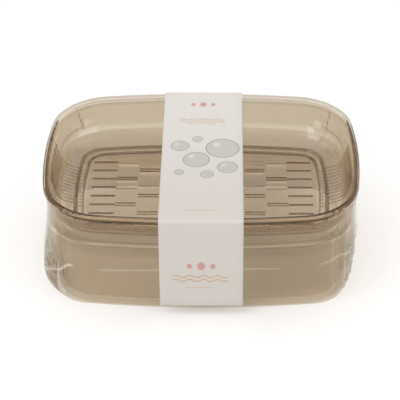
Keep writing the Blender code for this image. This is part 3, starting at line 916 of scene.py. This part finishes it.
def crumple(points):
    """How far the film stands out at each point, in millimetres, and how strongly its creases are painted
    light, a painted highlight, and its pleats dark, a painted shade.
    """
    out = np.zeros(len(points))
    crease_highlight_and_shade = np.zeros(len(points))
    for line, stand, wide in CREASES:
        near = near_crease(points, line, wide)
        out += stand * near
        crease_highlight_and_shade = np.maximum(crease_highlight_and_shade, near * min(stand * 2, 1))
    pleat_shade = np.zeros(len(points))
    for line, stand, wide in PLEATS:
        near = near_crease(points, line, wide)
        out += stand * near
        pleat_shade = np.maximum(pleat_shade, near)
    fold_close, fold_thin, fold_high, fold_highlight = FOLDS
    fine_close, fine_thin, fine_high, fine_highlight = CRINKLES
    swell_close, swell_high = SWELL
    for index, (x, y, z) in enumerate(points):
        place = Vector((x, y, z))
        past = min(max((abs(x) - SLACK_FROM) / SLACK_OVER, 0), 1)
        slack = past * min(max((SLACK_UNDER - z) / SLACK_DEPTH, 0), 1)
        fold = ridge(place * fold_close + Vector(FOLDS_SHIFT), fold_thin)
        fine = ridge(place * fine_close, fine_thin)
        # The slack is turned inward at the left end, where the film already leans out as far as the lip.
        loose = math.copysign(slack, x) * (fold_high * fold + fine_high * fine)
        out[index] += swell_high * noise.noise(place * swell_close) + loose
        crease_highlight_and_shade[index] = max(crease_highlight_and_shade[index], slack * (fold_highlight * fold + fine_highlight * fine))
    return out, crease_highlight_and_shade - pleat_shade


def shrink_film():
    """The crinkled film as a closed thin wall: its rows, its creases, and its thickness."""
    rings = np.array([film_ring(level / (FILM_LEVELS - 1)) for level in range(FILM_LEVELS)])
    around = rings.shape[1]
    along = np.roll(rings, -1, axis=1) - np.roll(rings, 1, axis=1)
    normal = np.stack((along[..., 1], -along[..., 0], np.zeros(along.shape[:2])), axis=2)
    normal /= np.linalg.norm(normal, axis=2, keepdims=True)
    stand, crease_highlight_and_shade = crumple(rings.reshape(-1, 3) / MM)
    stand = stand.reshape(FILM_LEVELS, around) * MM
    crease_highlight_and_shade = crease_highlight_and_shade.reshape(FILM_LEVELS, around)
    from_end = np.minimum(np.arange(FILM_LEVELS), np.arange(FILM_LEVELS)[::-1])
    stand *= np.clip(from_end / FILM_CALM_ROWS, 0, 1)[:, None]
    outer = rings + normal * stand[..., None]
    outer[..., 0] = np.clip(outer[..., 0], -FILM_REACH, FILM_REACH)
    inner = outer - normal * FILM_THICK
    points = np.concatenate((outer, inner[::-1])).reshape(-1, 3)
    rows = 2 * FILM_LEVELS
    faces = []
    for row in range(rows):
        here = row * around
        above = (row + 1) % rows * around
        for step in range(around):
            after = (step + 1) % around
            faces.append((here + step, here + after, above + after, above + step))
    mesh = bpy.data.meshes.new("shrink_film_skin")
    mesh.from_pydata(points.tolist(), [], faces)
    creases = mesh.attributes.new("crease", "FLOAT", "POINT")
    creases.data.foreach_set("value", np.concatenate((crease_highlight_and_shade, crease_highlight_and_shade[::-1])).ravel().astype(np.float32))
    smooth(mesh)
    mesh.set_sharp_from_angle(angle=FILM_SHARP_ANGLE * DEGREE)
    mesh.materials.append(clear_film())
    film = into_scene("shrink_film_skin", mesh)
    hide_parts("shrink_film")
    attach(film, "box")


def band_line():
    """The band's outline across the dish, from its back end over the lip to its front end, as (y, z)."""
    reach = LIP_WIDTH / 2 + BAND_OFFSET
    top = LIP_TOP + BAND_LIFT
    rise = top - BAND_FOLD - BAND_END
    side = [(reach, BAND_END + rise * step / PANEL_STEPS) for step in range(PANEL_STEPS)]
    for step in range(BAND_STEPS + 1):
        turn = math.pi / 2 * step / BAND_STEPS
        side.append((reach - BAND_FOLD * (1 - math.cos(turn)), top - BAND_FOLD * (1 - math.sin(turn))))
    flat = reach - BAND_FOLD
    middle = [(flat * (1 - step / PANEL_STEPS), top) for step in range(1, 2 * PANEL_STEPS)]
    return side + middle + [(-y, z) for y, z in reversed(side)]


def paper_band():
    """The card strip folded over the lip, a grid of points given the thickness of card."""
    top = LIP_TOP + BAND_LIFT
    shape = bmesh.new()
    rows = []
    for y, z in band_line():
        row = []
        down = min(max((top - BAND_FOLD - z) / (top - BAND_END), 0), 1)
        for step in range(BAND_ACROSS + 1):
            x = BAND_ASIDE + BAND_WIDTH * (step / BAND_ACROSS - 0.5)
            wave = noise.noise(Vector((x * WAVES_ACROSS, y * WAVES_ALONG, z * WAVES_ACROSS)))
            hang = down * (HANG_WAVE * wave + HANG) * MM
            row.append(shape.verts.new((x, y - math.copysign(hang, y), z)))
        rows.append(row)
    for low, high in zip(rows, rows[1:]):
        for index in range(BAND_ACROSS):
            shape.faces.new((low[index], high[index], high[index + 1], low[index + 1]))
    bmesh.ops.recalc_face_normals(shape, faces=shape.faces)
    mesh = bpy.data.meshes.new("paper_band_card")
    shape.to_mesh(mesh)
    shape.free()
    mesh.materials.append(coated_card())
    smooth(mesh)
    band = into_scene("paper_band_card", mesh)
    thick = band.modifiers.new("thickness", "SOLIDIFY")
    thick.thickness = BAND_THICK
    thick.offset = 1
    thick.use_even_offset = True
    edge = band.modifiers.new("cut_edge", "BEVEL")
    edge.width = CUT_EDGE
    edge.segments = 1
    edge.limit_method = "ANGLE"
    edge.angle_limit = CUT_ANGLE * DEGREE
    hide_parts("paper_band")
    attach(band, "band")


shrink_film()
paper_band()


def seen_ray(bench):
    """1 for rays from the eye, straight, through plastic or off gloss."""
    path = bench.nodes.new("ShaderNodeLightPath").outputs
    return bench.most(path["Is Camera Ray"], path["Is Transmission Ray"], path["Is Glossy Ray"])


def floor_white():
    """A matt white with a glow that the eye alone sees, so that it looks white and still takes a shadow."""
    made, bench, out = new_material("floor_white")
    matt = bench.node("ShaderNodeBsdfDiffuse", Color=FLOOR_WHITE)
    glow = bench.node("ShaderNodeEmission", Color=WHITE, Strength=bench.times(seen_ray(bench), FLOOR_GLOW))
    both = bench.nodes.new("ShaderNodeAddShader")
    bench.feed(both.inputs[0], matt.outputs[0])
    bench.feed(both.inputs[1], glow.outputs[0])
    bench.feed(out.inputs["Surface"], both.outputs[0])
    return made


def stage():
    """The floor, and a world that is plain white to the eye and lights the dish a little less."""
    far = FLOOR_SIZE
    mesh = bpy.data.meshes.new("floor")
    mesh.from_pydata([(-far, -far, 0), (far, -far, 0), (far, far, 0), (-far, far, 0)], [], [(0, 1, 2, 3)])
    mesh.materials.append(floor_white())
    floor = into_scene("floor", mesh)
    world = bpy.data.worlds.new("studio")
    bpy.context.scene.world = world
    world.use_nodes = True
    world.node_tree.nodes.clear()
    bench = Bench(world.node_tree)
    out = bench.nodes.new("ShaderNodeOutputWorld")
    level = bench.plus(WORLD_LEVEL, bench.times(seen_ray(bench), 1 - WORLD_LEVEL))
    back = bench.node("ShaderNodeBackground", Strength=level)
    bench.feed(out.inputs["Surface"], back.outputs[0])


def lamp(name, place, size, power):
    data = bpy.data.lights.new(name, "AREA")
    data.shape = "RECTANGLE"
    data.size, data.size_y = size
    data.energy = power
    obj = into_scene(name, data)
    obj.location = place
    obj.rotation_euler = (Vector(LAMP_AIM) - Vector(place)).to_track_quat("-Z", "Y").to_euler()


stage()
for row in LAMPS:
    lamp(*row)

scene = bpy.context.scene
scene.view_settings.view_transform = "Standard"
scene.cycles.max_bounces = BOUNCES
scene.cycles.glossy_bounces = BOUNCES
scene.cycles.transmission_bounces = BOUNCES
scene.cycles.transparent_max_bounces = BOUNCES
